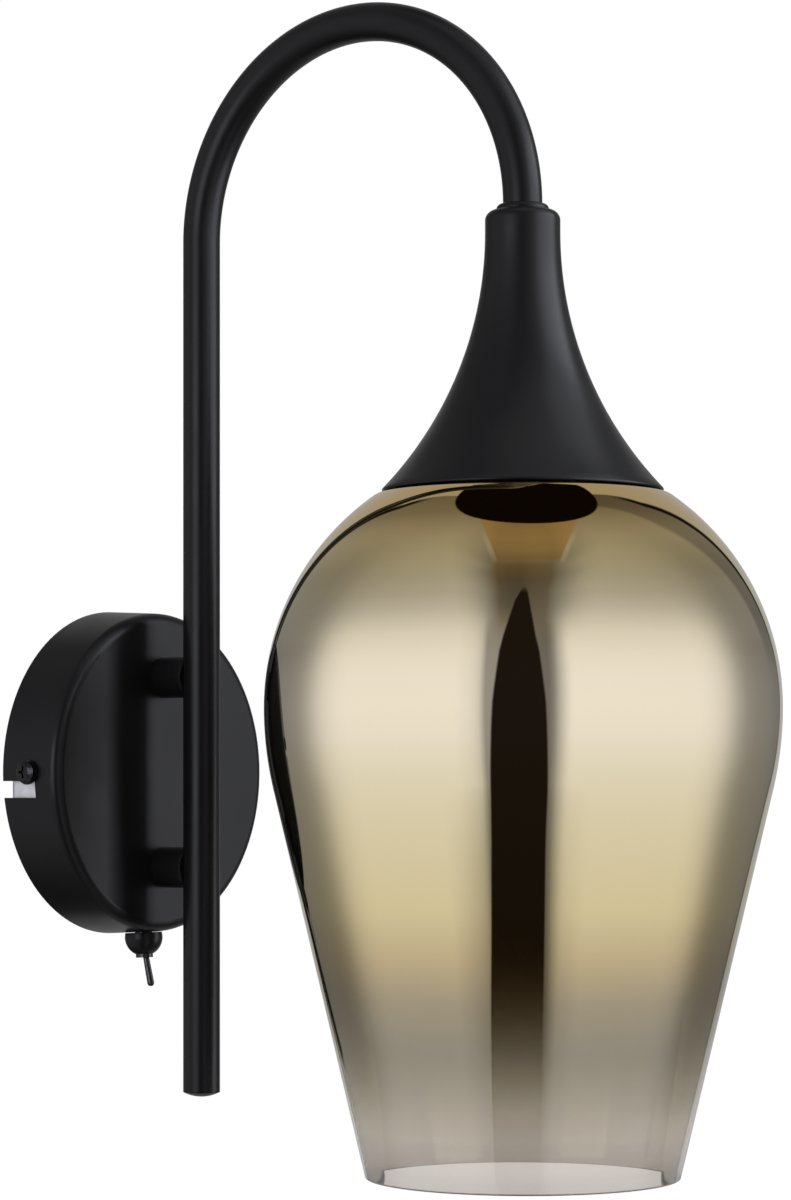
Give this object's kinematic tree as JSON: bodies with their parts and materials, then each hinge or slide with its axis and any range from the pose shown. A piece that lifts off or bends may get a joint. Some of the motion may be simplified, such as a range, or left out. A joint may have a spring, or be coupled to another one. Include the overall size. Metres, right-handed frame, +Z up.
{
  "type": "wall lamp",
  "caption": "Wall lamp with an arched tube arm on standoffs, a round canopy with a toggle switch, and a trumpet cup over a mirrored glass shade open at the bottom.",
  "frame": {"origin": "on the wall plane, at the middle of the canopy and midway between the wall screws", "axes": "+X to the right as seen from the room, +Y into the wall, +Z up; the lamp reaches out to -Y"},
  "size_m": [0.177, 0.2741, 0.4108],
  "materials": {
    "black_metal": "satin black powder coat",
    "zinc_steel": "zinc-plated steel",
    "mirror_glass": "gold mirror fading to clear smoky glass at the rim",
    "opal_glass": "opal white",
    "nickel_brass": "nickel-plated",
    "black_nickel": "black-nickel-plated",
    "brass": "plain",
    "black_glass": "glossy black",
    "ceramic": "glazed white steatite",
    "black_plastic": "moulded, fine texture",
    "white_nylon": "moulded",
    "silicone": "soft, translucent white",
    "brown_pvc": "wire insulation",
    "blue_pvc": "wire insulation",
    "green_yellow_pvc": "wire insulation"
  },
  "bodies": {
    "lamp": {"arm_end_cap": "black_metal", "arm_tip_insert": "zinc_steel", "arm_tube": "black_metal", "bulb_cap": "nickel_brass", "bulb_envelope": "opal_glass", "bulb_insulator": "black_glass", "bulb_tip": "nickel_brass", "canopy": "black_metal", "cup_nut": "zinc_steel", "earth_lug_bracket": "zinc_steel", "earth_lug_canopy": "zinc_steel", "earth_screw": "brass", "earth_wire": "green_yellow_pvc", "glass_shade": "mirror_glass", "holder_lock_nut": "zinc_steel", "lampholder_cap": "black_plastic", "lampholder_contact": "brass", "lampholder_insert": "ceramic", "lampholder_screws": "zinc_steel", "lampholder_shell": "brass", "lampholder_skirt": "black_plastic", "lampholder_terminals": "brass", "live_wire_lamp": "brown_pvc", "live_wire_supply": "brown_pvc", "lower_screw": "zinc_steel", "lower_star_washer": "zinc_steel", "neck_collar": "black_metal", "neck_nipple": "zinc_steel", "neck_star_washer": "zinc_steel", "neutral_wire": "blue_pvc", "nipple_end_bush": "white_nylon", "shade_cup": "black_metal", "shade_gaskets": "silicone", "shade_ring": "black_plastic", "side_screws": "black_metal", "side_washers": "black_metal", "standoff_lower": "black_metal", "standoff_upper": "black_metal", "switch_ball_nut": "black_metal", "switch_box": "black_plastic", "switch_bush": "black_nickel", "switch_lugs": "brass", "switch_washer": "zinc_steel", "terminal_block": "white_nylon", "terminal_block_screw": "zinc_steel", "terminal_clamp_screws": "zinc_steel", "terminal_sleeves": "brass", "upper_nipple": "zinc_steel", "upper_nut": "zinc_steel", "upper_star_washer": "zinc_steel", "wall_bracket": "zinc_steel"},
    "lever": {"switch_lever": "black_nickel", "switch_plunger": "white_nylon"},
    "rocker": {"switch_rocker": "brass"}
  },
  "joints": [
    {"name": "switch_throw", "type": "hinge", "parent": "lamp", "child": "lever", "pos_m": [0, -0.01527, -0.06442], "axis": [1, 0, 0], "range_deg": [0, 21]},
    {"name": "contact_rock", "type": "hinge", "parent": "lamp", "child": "rocker", "pos_m": [0, -0.01454, -0.05044], "axis": [1, 0, 0], "range_deg": [-20, 0]}
  ],
  "couplings": [
    {"joint": "contact_rock", "follows": "switch_throw", "ratio": -0.9523}
  ]
}
